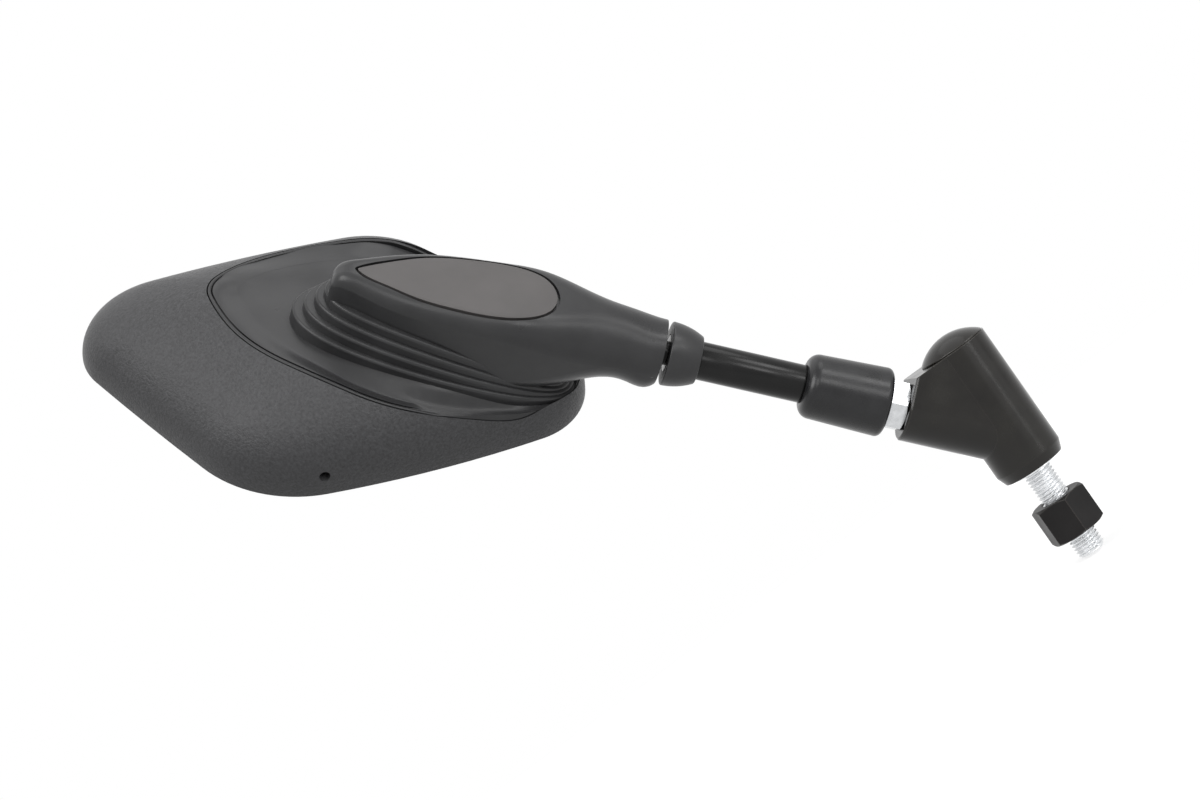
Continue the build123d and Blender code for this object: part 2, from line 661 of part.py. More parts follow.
def neck_hollow():
    """What is cut from the neck's body: the ball's socket, the spring's bore, the cavity and the recess."""
    end = -RETAINER_AT - OVERCUT
    front = ThreePointArc((0, SOCKET_R), (SOCKET_R * sqrt(0.5), SOCKET_R * sqrt(0.5)), (SOCKET_R, 0))
    back = Polyline((SOCKET_R, 0), (end, 0), (end, SOCKET_R), (0, SOCKET_R))
    hollow = [revolve(make_face([front, back]), Axis.X)]
    hollow.append(ALONG_NECK * taper(NECK_THROAT_R, NECK_MOUTH_R, 0, NECK_REACH + FIT_GAP))
    room = Box(
        RETAINER_T + 2 * SCREW_HEAD_H, RETAINER_W + 2 * RETAINER_CLEAR, RETAINER_H + 2 * RETAINER_CLEAR
    )
    hollow.append(Pos(-RETAINER_AT - RETAINER_T / 2 - SCREW_HEAD_H, 0, 0) * room)
    far = [(along, half) for along, half in CAVITY]
    near = [(along, -half) for along, half in reversed(CAVITY)]
    cavity = make_face(Polyline(*far, *near, close=True))
    hollow.append(RECESS * Pos(0, 0, -CAVITY_SKIN) * extrude(cavity, -CAVITY_DEPTH))
    hollow.append(insert_prism(0, 0))
    for along in INSERT_PEGS:
        hollow.append(RECESS * Pos(along, 0, 0) * disc(INSERT_PEG_R + FIT_GAP, -INSERT_PEG_LENGTH, OVERCUT))
    pilot = disc(SCREW_R + PILOT_CLEAR, 0, RETAINER_SCREW_LENGTH + FIT_GAP)
    hollow += [place * pilot for place in retainer_screw_places()]
    return hollow


def neck_moulding():
    block = dome(JOINT_STEP) & joint_prism(-JOINT_GAP)
    block += dome(FLANGE_INSET) & joint_prism(FLANGE_LAP)
    steps = NECK * terraces() & joint_prism(-JOINT_GAP)
    neck = block - dish_room(0) + steps + NECK * neck_body()
    neck -= dome(FLANGE_INSET + FLANGE_T) - dish_room(DISH_WALL)
    pads = dome(FLANGE_INSET)
    for place in shell_screw_places():
        pad = disc(SHELL_PAD_R, 0, DOME_STEPS[-1][1]) & place.inverse() * pads
        neck += place * pad
        neck -= place * disc(SCREW_HEAD_R + SCREW_CLEAR, -SHELL_BOSS_AT, 0)
        neck -= place * disc(SCREW_R + SCREW_CLEAR, -OVERCUT, SHELL_PAD_FLOOR + OVERCUT)
        neck -= place * disc(SHELL_BOSS_R + FIT_GAP, SHELL_PAD_FLOOR, DOME_STEPS[-1][1])
    for hollow in neck_hollow():
        neck -= NECK * hollow
    return HEAD * neck


NODES = {
    "pivot_bolt": pivot_bolt,
    "bolt_washer": bolt_washer,
    "mount_nut": mount_nut,
    "pivot_bush": pivot_bush,
    "adapter_body": adapter_body,
    "dome_cap": dome_cap,
    "stem_rod": stem_rod,
    "stem_collar": stem_collar,
    "stem_lock_nut": stem_lock_nut,
    "rubber_boot": rubber_boot,
    "ball_liner": ball_liner,
    "pressure_cup": pressure_cup,
    "ball_spring": ball_spring,
    "spring_retainer": spring_retainer,
    "retainer_screws": retainer_screws,
    "mirror_glass": mirror_glass,
    "glass_pad": glass_pad,
    "housing_shell": housing_shell,
    "shell_screws": shell_screws,
    "insert_plate": insert_plate,
    "neck_moulding": neck_moulding,
}

os.makedirs("parts", exist_ok=True)
for name, make in NODES.items():
    export_step(make(), f"parts/{name}.step")
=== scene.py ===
from math import cos, pi, radians, sin

import bmesh
import bpy
import numpy as np
from mathutils import Matrix, Vector


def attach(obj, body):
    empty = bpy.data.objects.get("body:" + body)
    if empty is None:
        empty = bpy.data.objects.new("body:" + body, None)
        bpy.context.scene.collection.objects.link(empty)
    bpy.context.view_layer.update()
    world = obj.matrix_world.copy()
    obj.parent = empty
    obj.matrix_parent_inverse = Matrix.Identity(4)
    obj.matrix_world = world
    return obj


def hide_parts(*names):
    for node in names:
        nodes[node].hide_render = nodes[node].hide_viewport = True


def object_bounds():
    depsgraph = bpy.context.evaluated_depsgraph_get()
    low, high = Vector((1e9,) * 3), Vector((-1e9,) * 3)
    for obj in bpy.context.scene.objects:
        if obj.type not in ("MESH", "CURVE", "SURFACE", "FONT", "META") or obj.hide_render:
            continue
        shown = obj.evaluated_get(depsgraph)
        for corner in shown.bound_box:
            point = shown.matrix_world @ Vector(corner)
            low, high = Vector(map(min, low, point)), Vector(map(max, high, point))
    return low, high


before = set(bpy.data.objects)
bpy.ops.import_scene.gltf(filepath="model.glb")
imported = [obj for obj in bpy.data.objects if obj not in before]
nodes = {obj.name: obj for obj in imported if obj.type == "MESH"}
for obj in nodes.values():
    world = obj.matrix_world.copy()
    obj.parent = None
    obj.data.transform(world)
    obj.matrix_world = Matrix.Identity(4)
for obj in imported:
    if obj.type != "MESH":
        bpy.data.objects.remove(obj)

cad_low, cad_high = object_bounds()

# Shared sizes, in millimetres of the row frame unless named otherwise
MM = 0.001
STEM_TILT = radians(42)
STEM_FOOT = 39.7
STEM_AXIS = (sin(STEM_TILT), 0.0, cos(STEM_TILT))
UP = (0.0, 0.0, 1.0)
SHARP = radians(32)
STRIP_SHARP = radians(40)
WELD = 0.002


def added(name, data):
    """A new object in the scene."""
    obj = bpy.data.objects.new(name, data)
    bpy.context.collection.objects.link(obj)
    return obj


# Shader nodes
def new_material(name):
    mat = bpy.data.materials.new(name)
    mat.use_nodes = True
    tree = mat.node_tree
    return mat, tree, tree.nodes["Principled BSDF"]


def place(tree):
    """Coordinates fixed to the object, in metres."""
    return tree.nodes.new("ShaderNodeTexCoord").outputs["Object"]


def noise(tree, coords, cell_mm, detail=2.0, rough=0.5):
    node = tree.nodes.new("ShaderNodeTexNoise")
    node.inputs["Scale"].default_value = 1.0 / (cell_mm * MM)
    node.inputs["Detail"].default_value = detail
    node.inputs["Roughness"].default_value = rough
    tree.links.new(coords, node.inputs["Vector"])
    return node.outputs["Fac"]


def spread(tree, value, low, high, from_low=0.3, from_high=0.7):
    """A value taken from one range to another."""
    node = tree.nodes.new("ShaderNodeMapRange")
    node.inputs["From Min"].default_value = from_low
    node.inputs["From Max"].default_value = from_high
    node.inputs["To Min"].default_value = low
    node.inputs["To Max"].default_value = high
    tree.links.new(value, node.inputs["Value"])
    return node.outputs["Result"]


def ramp(tree, value, stops):
    node = tree.nodes.new("ShaderNodeValToRGB")
    band = node.color_ramp
    while len(band.elements) < len(stops):
        band.elements.new(0.5)
    for element, (at, colour) in zip(band.elements, stops):
        element.position = at
        element.color = (*colour, 1.0)
    tree.links.new(value, node.inputs["Fac"])
    return node.outputs["Color"]


def dotted(tree, first, second):
    """The dot product of a socket with another socket or with a constant."""
    node = tree.nodes.new("ShaderNodeVectorMath")
    node.operation = "DOT_PRODUCT"
    tree.links.new(first, node.inputs[0])
    if isinstance(second, (tuple, Vector)):
        node.inputs[1].default_value = second
    else:
        tree.links.new(second, node.inputs[1])
    return node.outputs["Value"]


def joined(tree, operation, first, second):
    node = tree.nodes.new("ShaderNodeMath")
    node.operation = operation
    tree.links.new(first, node.inputs[0])
    tree.links.new(second, node.inputs[1])
    return node.outputs[0]


def mixed(tree, share, base, over):
    """A colour socket mixed with a constant colour by a share."""
    node = tree.nodes.new("ShaderNodeMix")
    node.data_type = "RGBA"
    tree.links.new(share, node.inputs["Factor"])
    tree.links.new(base, node.inputs[6])
    node.inputs[7].default_value = (*over, 1.0)
    return node.outputs[2]


def bump(tree, shader, layers, last=None):
    """Stacks height layers, each a value, a height in millimetres and a strength."""
    for value, height_mm, strength in layers:
        node = tree.nodes.new("ShaderNodeBump")
        node.inputs["Distance"].default_value = height_mm * MM
        node.inputs["Strength"].default_value = strength
        tree.links.new(value, node.inputs["Height"])
        if last:
            tree.links.new(last, node.inputs["Normal"])
        last = node.outputs["Normal"]
    tree.links.new(last, shader.inputs["Normal"])


def worn_edges(tree, radius_mm, flat, edge):
    """A normal that rounds sharp edges, and a mask that is 1 on them."""
    soft = tree.nodes.new("ShaderNodeBevel")
    soft.samples = 6
    soft.inputs["Radius"].default_value = radius_mm * MM
    normal = soft.outputs["Normal"]
    true = tree.nodes.new("ShaderNodeNewGeometry").outputs["Normal"]
    return normal, spread(tree, dotted(tree, normal, true), 1.0, 0.0, from_low=edge, from_high=flat)


# Materials
def moulded(name, dark, light, rough, grain_mm, grain_height, spec=0.5):
    """A moulded plastic: cloudy colour, fine grain and a roughness that drifts."""
    mat, tree, shader = new_material(name)
    coords = place(tree)
    cloud = noise(tree, coords, cell_mm=14.0, detail=4.0)
    grain = noise(tree, coords, grain_mm, rough=0.6)
    tree.links.new(ramp(tree, cloud, ((0.3, dark), (0.7, light))), shader.inputs["Base Color"])
    tree.links.new(spread(tree, cloud, rough - 0.04, rough + 0.05), shader.inputs["Roughness"])
    shader.inputs["Specular IOR Level"].default_value = spec
    bump(tree, shader, ((grain, grain_height, 1.0),))
    return mat


def grained(name, dark, light):
    """Spark-eroded plastic: a dense pebble grain that catches the light in specks."""
    mat, tree, shader = new_material(name)
    coords = place(tree)
    cloud = noise(tree, coords, cell_mm=18.0, detail=3.0)
    pebble = noise(tree, coords, cell_mm=0.9, detail=3.0, rough=0.65)
    fine = noise(tree, coords, cell_mm=0.35, rough=0.6)
    tree.links.new(ramp(tree, pebble, ((0.3, dark), (0.75, light))), shader.inputs["Base Color"])
    tree.links.new(spread(tree, cloud, low=0.36, high=0.44), shader.inputs["Roughness"])
    shader.inputs["Specular IOR Level"].default_value = 0.28
    bump(tree, shader, ((pebble, 0.4, 0.8), (fine, 0.08, 0.6)))
    return mat


def coated(name, dark, light, worn, rough, peel_mm, peel_height, spec):
    """A painted or oxide black coat: slight orange peel, with the edges rubbed paler."""
    mat, tree, shader = new_material(name)
    coords = place(tree)
    cloud = noise(tree, coords, cell_mm=9.0, detail=4.0)
    peel = noise(tree, coords, peel_mm)
    speck = noise(tree, coords, cell_mm=0.35)
    soft, edge = worn_edges(tree, radius_mm=0.5, flat=0.995, edge=0.90)
    base = ramp(tree, cloud, ((0.3, dark), (0.72, light)))
    tree.links.new(mixed(tree, edge, base, worn), shader.inputs["Base Color"])
    tree.links.new(spread(tree, cloud, rough - 0.04, rough + 0.06), shader.inputs["Roughness"])
    shader.inputs["Specular IOR Level"].default_value = spec
    bump(tree, shader, ((peel, peel_height, 0.7), (speck, 0.006, 0.5)), soft)
    return mat


def plated(name, dark, light, rough, axis):
    """Plated steel: fine turning lines across an axis, with clouded patches."""
    mat, tree, shader = new_material(name)
    coords = place(tree)
    cloud = noise(tree, coords, cell_mm=4.0, detail=5.0, rough=0.6)
    lines = tree.nodes.new("ShaderNodeTexNoise")
    lines.noise_dimensions = "1D"
    lines.inputs["Scale"].default_value = 1.0 / (0.12 * MM)
    lines.inputs["Detail"].default_value = 3.0
    tree.links.new(dotted(tree, coords, axis), lines.inputs["W"])
    tree.links.new(ramp(tree, cloud, ((0.32, dark), (0.68, light))), shader.inputs["Base Color"])
    tree.links.new(spread(tree, cloud, rough - 0.07, rough + 0.1), shader.inputs["Roughness"])
    shader.inputs["Metallic"].default_value = 1.0
    bump(tree, shader, ((lines.outputs["Fac"], 0.01, 0.5), (cloud, 0.02, 0.3)))
    return mat


def rubbery(name, dark, light):
    """Rubber with a faintly uneven skin."""
    mat, tree, shader = new_material(name)
    coords = place(tree)
    cloud = noise(tree, coords, cell_mm=7.0, detail=4.0)
    skin = noise(tree, coords, cell_mm=0.8, detail=3.0)
    tree.links.new(ramp(tree, cloud, ((0.3, dark), (0.7, light))), shader.inputs["Base Color"])
    tree.links.new(spread(tree, cloud, low=0.25, high=0.33), shader.inputs["Roughness"])
    shader.inputs["Specular IOR Level"].default_value = 0.32
    bump(tree, shader, ((skin, 0.02, 0.5),))
    return mat


def mirrored(name, dark, light):
    """Silvered glass with a slight haze."""
    mat, tree, shader = new_material(name)
    haze = noise(tree, place(tree), cell_mm=30.0, detail=4.0)
    tree.links.new(ramp(tree, haze, ((0.3, dark), (0.7, light))), shader.inputs["Base Color"])
    tree.links.new(spread(tree, haze, low=0.01, high=0.04), shader.inputs["Roughness"])
    shader.inputs["Metallic"].default_value = 1.0
    return mat


def foam(name, dark, light):
    """Open foam with small cells, whose pits are painted darker as painted shade."""
    mat, tree, shader = new_material(name)
    cells = tree.nodes.new("ShaderNodeTexVoronoi")
    cells.inputs["Scale"].default_value = 1.0 / (0.7 * MM)
    tree.links.new(place(tree), cells.inputs["Vector"])
    depth = cells.outputs["Distance"]
    # The cells' pits, low in the bump, are painted darker than their walls: painted shade
    tree.links.new(ramp(tree, depth, ((0.1, dark), (0.7, light))), shader.inputs["Base Color"])
    shader.inputs["Roughness"].default_value = 0.9
    bump(tree, shader, ((depth, 0.15, 0.8),))
    return mat


LOOKS = {
    "housing_shell": grained("grained_black", dark=(0.030, 0.030, 0.031), light=(0.062, 0.062, 0.065)),
    "neck_moulding": moulded(
        "smooth_black", dark=(0.026, 0.026, 0.027), light=(0.036, 0.036, 0.037),
        rough=0.31, grain_mm=0.9, grain_height=0.010, spec=0.26,
    ),
    "insert_plate": moulded(
        "plate_grey", dark=(0.073, 0.069, 0.068), light=(0.088, 0.083, 0.082),
        rough=0.42, grain_mm=0.6, grain_height=0.010, spec=0.25,
    ),
    "stem_collar": moulded(
        "collar_black", dark=(0.026, 0.026, 0.027), light=(0.036, 0.036, 0.037),
        rough=0.36, grain_mm=0.7, grain_height=0.012, spec=0.3,
    ),
    "stem_rod": coated(
        "black_coat", dark=(0.003, 0.003, 0.003), light=(0.006, 0.006, 0.006), worn=(0.02, 0.02, 0.02),
        rough=0.17, peel_mm=1.6, peel_height=0.008, spec=0.22,
    ),
    "adapter_body": coated(
        "adapter_coat", dark=(0.006, 0.005, 0.004), light=(0.011, 0.010, 0.008), worn=(0.045, 0.041, 0.036),
        rough=0.18, peel_mm=1.2, peel_height=0.008, spec=0.32,
    ),
    "mount_nut": coated(
        "black_oxide", dark=(0.005, 0.0045, 0.0045), light=(0.010, 0.009, 0.009), worn=(0.05, 0.046, 0.042),
        rough=0.4, peel_mm=0.9, peel_height=0.012, spec=0.2,
    ),
    "rubber_boot": rubbery("rubber", dark=(0.010, 0.010, 0.011), light=(0.017, 0.017, 0.018)),
    "pivot_bolt": plated("zinc_bolt", dark=(0.66, 0.67, 0.68), light=(0.86, 0.87, 0.88), rough=0.28, axis=UP),
    "stem_lock_nut": plated(
        "zinc_nut", dark=(0.42, 0.43, 0.44), light=(0.64, 0.65, 0.66), rough=0.26, axis=STEM_AXIS
    ),
    "mirror_glass": mirrored("mirror", dark=(0.86, 0.88, 0.89), light=(0.9, 0.92, 0.93)),
    "glass_pad": foam("foam", dark=(0.03, 0.03, 0.03), light=(0.07, 0.07, 0.07)),
    "pressure_cup": moulded(
        "acetal", dark=(0.70, 0.69, 0.65), light=(0.78, 0.77, 0.73), rough=0.4, grain_mm=0.8, grain_height=0.01
    ),
    "ball_spring": plated(
        "spring_steel", dark=(0.30, 0.30, 0.32), light=(0.45, 0.45, 0.47), rough=0.32, axis=STEM_AXIS
    ),
}
SAME = {
    "dome_cap": "adapter_body",
    "bolt_washer": "pivot_bolt",
    "pivot_bush": "pivot_bolt",
    "ball_liner": "pressure_cup",
    "spring_retainer": "ball_spring",
    "retainer_screws": "ball_spring",
    "shell_screws": "ball_spring",
}
for name, obj in nodes.items():
    obj.data.materials.clear()
    obj.data.materials.append(LOOKS[SAME.get(name, name)])


# A welded copy of the glass, because the CAD mesh's own normals are off at its middle
def welded(name, source):
    grid = bmesh.new()
    grid.from_mesh(source.data)
    bmesh.ops.remove_doubles(grid, verts=grid.verts, dist=WELD * MM)
    grid.verts.index_update()
    verts = [source.matrix_world @ vert.co for vert in grid.verts]
    faces = [[vert.index for vert in face.verts] for face in grid.faces]
    grid.free()
    mesh = bpy.data.meshes.new(name)
    mesh.from_pydata(verts, [], faces)
    mesh.shade_smooth()
    mesh.set_sharp_from_angle(angle=SHARP)
    return added(name, mesh)


bpy.context.view_layer.update()
glass = welded("convex_glass", nodes["mirror_glass"])
glass.data.materials.append(LOOKS["mirror_glass"])
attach(glass, "head")
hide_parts("mirror_glass")

# Turned pieces with cut threads
STEPS_PER_PITCH = 12
CREST_FLAT, FLANK = 0.125, 0.625
M10 = {"pitch": 1.25, "depth": 0.77, "crest": 5.0}


def turned(name, stations, thread, at, segments=96):
    """A bar turned on its own Z axis from (height, radius) stations, with a thread cut into a stretch of it."""
    rows = []
    for (z0, r0), (z1, r1) in zip(stations, stations[1:]):
        cut_here = thread["from"] < (z0 + z1) / 2 < thread["to"]
        fine = cut_here and z1 > z0
        count = int(np.ceil((z1 - z0) / (thread["pitch"] / STEPS_PER_PITCH))) if fine else 1
        for s in np.linspace(0, 1, count, endpoint=False):
            rows.append((z0 + (z1 - z0) * s, r0 + (r1 - r0) * s, cut_here))
    rows.append((*stations[-1], False))
    angle = np.linspace(0, 2 * pi, segments, endpoint=False)
    verts = []
    for z, radius, cut_here in rows:
        ring = np.full(segments, radius)
        if cut_here:
            turn = (z / thread["pitch"] - angle / (2 * pi)) % 1.0
            groove = np.clip((np.abs(turn - 0.5) * 2 - CREST_FLAT) / FLANK, 0, 1)
            run_out = (thread["to"] - z) / thread["pitch"]
            run_in = (z - thread["from"]) / thread["pitch"] + 1
            fade = max(min(1.0, run_out, run_in), 0.0)
            ring = np.minimum(ring, thread["crest"] - thread["depth"] * groove * fade)
        verts += [(r * cos(a), r * sin(a), z) for r, a in zip(ring, angle)]
    verts += [(0, 0, rows[0][0]), (0, 0, rows[-1][0])]
    first, last = len(verts) - 2, len(verts) - 1
    faces = []
    for row in range(len(rows) - 1):
        low, high = row * segments, (row + 1) * segments
        for k in range(segments):
            nxt = (k + 1) % segments
            faces.append((low + k, low + nxt, high + nxt, high + k))
    top = (len(rows) - 1) * segments
    for k in range(segments):
        nxt = (k + 1) % segments
        faces.append((first, nxt, k))
        faces.append((last, top + k, top + nxt))
    mesh = bpy.data.meshes.new(name)
    mesh.from_pydata([at @ (Vector(v) * MM) for v in verts], [], faces)
    mesh.validate()
    mesh.shade_smooth()
    mesh.set_sharp_from_angle(angle=SHARP)
    return added(name, mesh)


STUD_END, STUD_THREAD_TOP, BOLT_HEAD, BOLT_TOP = -7.7, 36.0, 59.65, 67.65
bolt = turned(
    "threaded_bolt",
    [
        (STUD_END, 4.0), (-6.5, 5.0), (STUD_THREAD_TOP, 5.0), (BOLT_HEAD, 5.0),
        (BOLT_HEAD, 8.0), (67.15, 8.0), (BOLT_TOP, 7.5), (BOLT_TOP, 4.3), (63.2, 4.3),
    ],
    {**M10, "from": STUD_END, "to": STUD_THREAD_TOP},
    Matrix.Identity(4),
)
bolt.data.materials.append(LOOKS["pivot_bolt"])
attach(bolt, "bolt")
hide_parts("pivot_bolt")

# Stations along the stem from its foot, up to the ball in the neck
STEM_AT = Matrix.Translation((0, 0, STEM_FOOT * MM)) @ Matrix.Rotation(STEM_TILT, 4, "Y")
STEM_END, STEM_THREAD_TOP, SHOULDER = 19.7, 52.0, 114.3
BALL_AT, BALL_R, SHANK_R = 136.2, 7.5, 3.9
ball_start = np.arcsin(SHANK_R / BALL_R)
ball = [(BALL_AT - BALL_R * cos(t), BALL_R * sin(t)) for t in np.linspace(ball_start, pi - 0.02, 30)]
rod = turned(
    "threaded_stem",
    [
        (STEM_END, 4.0), (20.9, 5.0), (STEM_THREAD_TOP, 5.0), (53.0, 5.0), (55.0, 6.2),
        (113.8, 6.2), (SHOULDER, 5.9), (SHOULDER, SHANK_R), *ball,
    ],
    {**M10, "from": STEM_END, "to": STEM_THREAD_TOP},
    STEM_AT,
)
rod.data.materials.append(LOOKS["stem_rod"])
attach(rod, "stem")
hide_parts("stem_rod")


# The head's own frame, in millimetres, as part of the row frame
def axes_at(origin, x_axis, z_axis):
    turn = Matrix((x_axis, z_axis.cross(x_axis), z_axis)).transposed().to_4x4()
    return Matrix.Translation(origin) @ turn


TWIST, PITCH, YAW = radians(39.3), radians(13.3), radians(4.95)
BALL_IN_HEAD = Vector((86.0, -11.2, 28.3))
stem_dir = Vector(STEM_AXIS)
stem_up = Vector((-STEM_AXIS[2], 0.0, STEM_AXIS[0]))
neck_out = Vector((0.0, cos(TWIST), 0.0)) + stem_up * sin(TWIST)
neck_in_row = axes_at(Vector((0.0, 0.0, STEM_FOOT)) + stem_dir * BALL_AT, -stem_dir, neck_out)
neck_in_head = axes_at(
    BALL_IN_HEAD,
    Vector((cos(PITCH) * cos(YAW), -cos(PITCH) * sin(YAW), -sin(PITCH))),
    Vector((sin(PITCH) * cos(YAW), -sin(PITCH) * sin(YAW), cos(PITCH))),
)
HEAD = neck_in_row @ neck_in_head.inverted()


# Bead and verge along the joint of the shell and the neck moulding
def closed_curve(points, count):
    """A smooth closed line through points, evenly divided."""
    points = np.array(points)
    size = len(points)
    step = np.linalg.norm(np.roll(points, -1, 0) - points, axis=1)
    system = np.zeros((size, size))
    for i in range(size):
        system[i, i - 1] += step[i - 1]
        system[i, i] += 2 * (step[i - 1] + step[i])
        system[i, (i + 1) % size] += step[i]
    slope = (np.roll(points, -1, 0) - points) / step[:, None]
    bend = np.linalg.solve(system, 6 * (slope - np.roll(slope, 1, 0)))
    ends = np.concatenate(([0], np.cumsum(step)))
    at = np.linspace(0, ends[-1], count, endpoint=False)
    k = np.searchsorted(ends, at, side="right") - 1
    after = (k + 1) % size
    near = ((ends[k + 1] - at) / step[k])[:, None]
    far = 1 - near
    curve = (near**3 - near) * bend[k] + (far**3 - far) * bend[after]
    return near * points[k] + far * points[after] + curve * (step[k] ** 2)[:, None] / 6


def heights(node, places, start):
    """How high a CAD node stands at places on the head's plane, looking down from a height above each."""
    obj = nodes[node]
    into = obj.matrix_world.inverted() @ Matrix.Scale(MM, 4) @ HEAD
    back = into.inverted()
    down = (into.to_3x3() @ Vector((0, 0, -1))).normalized()
    found = []
    for (u, v), top in zip(places, start):
        hit, spot, _, _ = obj.ray_cast(into @ Vector((u, v, top)), down)
        found.append((back @ spot)[2] if hit else np.nan)
    return np.array(found)


def bridged(values):
    """Fills the gaps in a run of values from their neighbours."""
    at = np.arange(len(values))
    good = ~np.isnan(values)
    return np.interp(at, at[good], values[good])


def smoothed(values, reach):
    """A run of values averaged over a reach to each side, with its ends held."""
    weight = np.hanning(2 * reach + 3)[1:-1]
    padded = np.concatenate((np.full(reach, values[0]), values, np.full(reach, values[-1])))
    return np.convolve(padded, weight / weight.sum(), "valid")


def strip(name, rows):
    """A band of quads through rows of points in the head's frame, facing out of the back."""
    count = len(rows[0])
    verts = [(HEAD @ Vector(point)) * MM for row in rows for point in row]
    faces = []
    for r in range(len(rows) - 1):
        for k in range(count - 1):
            low, high = r * count + k, (r + 1) * count + k
            faces.append((low, low + 1, high + 1, high))
    mesh = bpy.data.meshes.new(name)
    mesh.from_pydata(verts, [], faces)
    out = HEAD.to_3x3() @ Vector((0, 0, 1))
    if sum(face.normal.dot(out) * face.area for face in mesh.polygons) < 0:
        mesh.flip_normals()
    mesh.shade_smooth()
    mesh.set_sharp_from_angle(angle=STRIP_SHARP)
    obj = added(name, mesh)
    obj.data.materials.append(LOOKS["neck_moulding"])
    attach(obj, "head")


# The joint's line on the head's plane, of which the stretch in view is kept
JOINT_LINE = (
    (-40.4, 7.5), (-30.5, -9.7), (-11.9, -24.9), (4.4, -33.2), (25.2, -36.8), (46.3, -34.5), (67.4, -27.0),
    (79.3, -13.0), (74.0, 7.0), (52.0, 28.0), (26.7, 37.0), (5.0, 38.3), (-17.0, 34.0), (-34.4, 22.8),
)
RING = 336
RING_START, RING_KEPT = 39.5 / 56, 35.2 / 56
# Looks down start from a height, and smoothing reaches a number of points each way
LOOK_FROM = 60.0
NARROW, MIDDLE, WIDE = 3, 4, 12
bpy.context.view_layer.update()
ring = np.roll(closed_curve(JOINT_LINE, RING), -int(RING * RING_START), 0)
along = np.roll(ring, -1, 0) - np.roll(ring, 1, 0)
along /= np.linalg.norm(along, axis=1)[:, None]
outward = np.column_stack((along[:, 1], -along[:, 0]))
kept = slice(0, int(RING * RING_KEPT))
ring, outward = ring[kept], outward[kept]
share = np.linspace(0.0, 1.0, len(ring))
high = np.full(len(ring), LOOK_FROM)

# Two looks outside the line, and the first distance over their difference
EDGE_NEAR, EDGE_FAR, EDGE_SHARE = 1.2, 2.0, 1.5


def shell_edge():
    """The shell's height on the line, carried on from just outside it."""
    near = bridged(heights("housing_shell", ring + outward * EDGE_NEAR, high))
    far = bridged(heights("housing_shell", ring + outward * EDGE_FAR, high))
    return near + (near - far) * EDGE_SHARE


# The line is moved onto the shell's cut, found by looking down on it in small steps
STEPS = np.arange(-1.2, 1.2, 0.05)
EDGE_DROP = 0.8
floor_of_edge = shell_edge() - EDGE_DROP
stands = [heights("housing_shell", ring + outward * step, high) > floor_of_edge for step in STEPS]
ring = ring + outward * smoothed(STEPS[np.argmax(stands, axis=0)], NARROW)[:, None]

# The bead's level follows the higher of the shell's edge and the dish, and sinks at both ends
DISH_IN, DISH_ABOVE = 0.9, 3.0
edge = shell_edge()
dish = bridged(heights("neck_moulding", ring - outward * DISH_IN, edge + DISH_ABOVE))
ridge = np.maximum(edge, dish)
level = smoothed(ridge, WIDE)
level += smoothed(np.maximum(ridge - level, 0.0), MIDDLE)
level -= np.interp(share, (0.0, 0.09, 0.92, 1.0), (1.8, 0.0, 0.0, 0.9))

# The bead's section: how far outward of the line and how high over the level each row lies
SKIRT = 2.5
BEAD = (
    (-0.45, -SKIRT), (-0.45, 0.0), (-0.58, 0.14), (-0.95, 0.2), (-1.32, 0.14), (-1.45, 0.0), (-1.45, -SKIRT),
)
strip("joint_bead", [np.column_stack((ring + outward * offset, level + lift)) for offset, lift in BEAD])

# The verge lies on the dish and rises to the bead, less so towards both ends
VERGE_FROM, VERGE_ROWS, VERGE_ABOVE = 2.0, 16, 8.0
VERGE_PROUD, OVER_LEVEL = 0.03, 0.02
reach = np.interp(share, (0.0, 0.1, 0.55, 0.7, 0.8, 0.9, 1.0), (6.0, 9.0, 8.0, 5.5, 3.5, 2.2, 1.4))
reach = smoothed(reach, WIDE)
fade = np.interp(share, (0.0, 0.14, 0.92, 1.0), (0.0, 1.0, 1.0, 0.0))
rows = []
for part in np.linspace(0.0, 1.0, VERGE_ROWS):
    spots = ring - outward * (VERGE_FROM + reach * part)[:, None]
    skin = smoothed(bridged(heights("neck_moulding", spots, level + VERGE_ABOVE)), NARROW)
    if not rows:
        lift = np.maximum(level + OVER_LEVEL - skin, 0.0) * fade
        rows.append(np.column_stack((spots, skin - SKIRT)))
    ease = part * part * (3 - 2 * part)
    rows.append(np.column_stack((spots, skin + lift * (1 - ease) + VERGE_PROUD)))
strip("dish_verge", rows)

# Camera at the photograph's view
IMAGE_W, PIXELS_PER_MM, SENSOR_W, DISTANCE = 1200.0, 3.1, 36.0, 1200.0
OFF_RIGHT, OFF_UP = 131.94, 10.0
RIGHT = Vector((-0.8075, 0.1229, -0.577)).normalized()
AWAY = Vector((0.1139, 0.992, 0.052)).normalized()
CAM_UP = AWAY.cross(RIGHT).normalized()
RIGHT = CAM_UP.cross(AWAY)
target = Vector((0, 0, STEM_FOOT * MM)) - RIGHT * OFF_RIGHT * MM + CAM_UP * OFF_UP * MM
camera = bpy.data.cameras.new("camera")
camera.sensor_width = SENSOR_W
camera.lens = SENSOR_W * DISTANCE / (IMAGE_W / PIXELS_PER_MM)
camera.clip_start = 0.05
camera.clip_end = 100.0
camera_obj = added("camera", camera)
basis = Matrix((RIGHT, CAM_UP, AWAY)).transposed().to_4x4()
camera_obj.matrix_world = Matrix.Translation(target + AWAY * (DISTANCE * MM)) @ basis
scene = bpy.context.scene
scene.camera = camera_obj
scene.view_settings.view_transform = "Standard"


# Floor, world and lamps
def seen_white(tree):
    """1 on rays seen straight, in a gloss or through glass, and 0 on the rest."""
    path = tree.nodes.new("ShaderNodeLightPath")
    total = path.outputs["Is Camera Ray"]
    for kind in ("Is Glossy Ray", "Is Transmission Ray"):
        total = joined(tree, "MAXIMUM", total, path.outputs[kind])
    return total


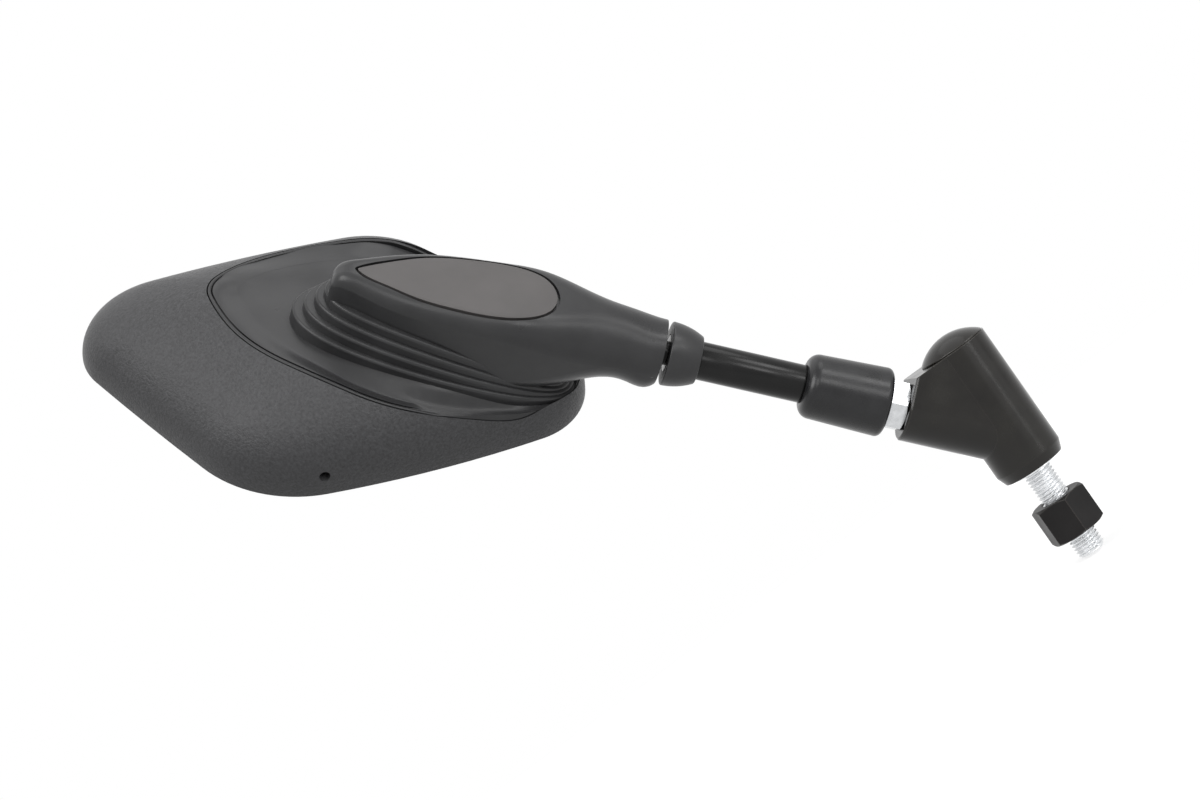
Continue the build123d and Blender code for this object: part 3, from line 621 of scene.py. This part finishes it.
# The floor lies a millimetre below the part, and its half width is in metres
FLOOR_Z = cad_low[2] - MM
FLOOR_HALF = 0.42
FLOOR_GLOW = 0.7
corners = [
    (x * FLOOR_HALF, y * FLOOR_HALF, FLOOR_Z) for x, y in ((-1, -1), (1, -1), (1, 1), (-1, 1))
]
floor_mesh = bpy.data.meshes.new("floor")
floor_mesh.from_pydata(corners, [], [(0, 1, 2, 3)])
floor = added("floor", floor_mesh)
floor_mat, floor_tree, floor_shader = new_material("pale_floor")
floor_shader.inputs["Base Color"].default_value = (0.35, 0.35, 0.35, 1.0)
floor_shader.inputs["Roughness"].default_value = 0.9
floor_shader.inputs["Specular IOR Level"].default_value = 0.1
floor_shader.inputs["Emission Color"].default_value = (1.0, 1.0, 1.0, 1.0)
glow = spread(floor_tree, seen_white(floor_tree), 0.0, FLOOR_GLOW, from_low=0.0, from_high=1.0)
floor_tree.links.new(glow, floor_shader.inputs["Emission Strength"])
floor.data.materials.append(floor_mat)

world = bpy.data.worlds.new("studio")
scene.world = world
world.use_nodes = True
world_tree = world.node_tree
background = world_tree.nodes["Background"]
background.inputs["Color"].default_value = (1.0, 1.0, 1.0, 1.0)


def lit_side(direction, from_share, to_share, strength):
    """A soft light all round a direction of the row frame, full at its middle and fading out to its edge."""
    looked = world_tree.nodes.new("ShaderNodeTexCoord").outputs["Generated"]
    meet = dotted(world_tree, looked, Vector(direction).normalized())
    falloff = world_tree.nodes.new("ShaderNodeMapRange")
    falloff.interpolation_type = "SMOOTHSTEP"
    for socket, value in zip(falloff.inputs[1:5], (from_share, to_share, 0.0, strength)):
        socket.default_value = value
    world_tree.links.new(meet, falloff.inputs["Value"])
    return falloff.outputs["Result"]


tent = joined(
    world_tree, "ADD",
    lit_side((-0.1, 0.2, 0.97), 0.0, 0.8, 0.65),
    lit_side((-0.72, 0.69, 0.0), 0.65, 0.96, 1.5),
)
shown = joined(world_tree, "MAXIMUM", tent, seen_white(world_tree))
world_tree.links.new(shown, background.inputs["Strength"])

# Far, wide lamps: name, direction that it shines from in the row frame, width in degrees and strength
LAMPS = (
    ("left", (0.46, 0.42, 0.78), 34.0, 1.55),
    ("back", (-0.1, -0.3, 0.95), 40.0, 0.2),
    ("top", (-0.62, 0.1, 0.78), 30.0, 0.45),
    ("right", (-0.74, 0.50, 0.45), 18.0, 0.4),
    ("front", (0.05, 0.89, 0.44), 26.0, 0.5),
    ("boot", (-0.40, 0.89, 0.19), 14.0, 0.26),
    ("low", (-0.68, 0.73, 0.03), 12.0, 0.2),
)
for name, direction, width, strength in LAMPS:
    lamp = bpy.data.lights.new(name, "SUN")
    lamp.energy = strength
    lamp.angle = radians(width)
    lamp_obj = added(name, lamp)
    lamp_obj.matrix_world = Vector(direction).to_track_quat("Z", "Y").to_matrix().to_4x4()
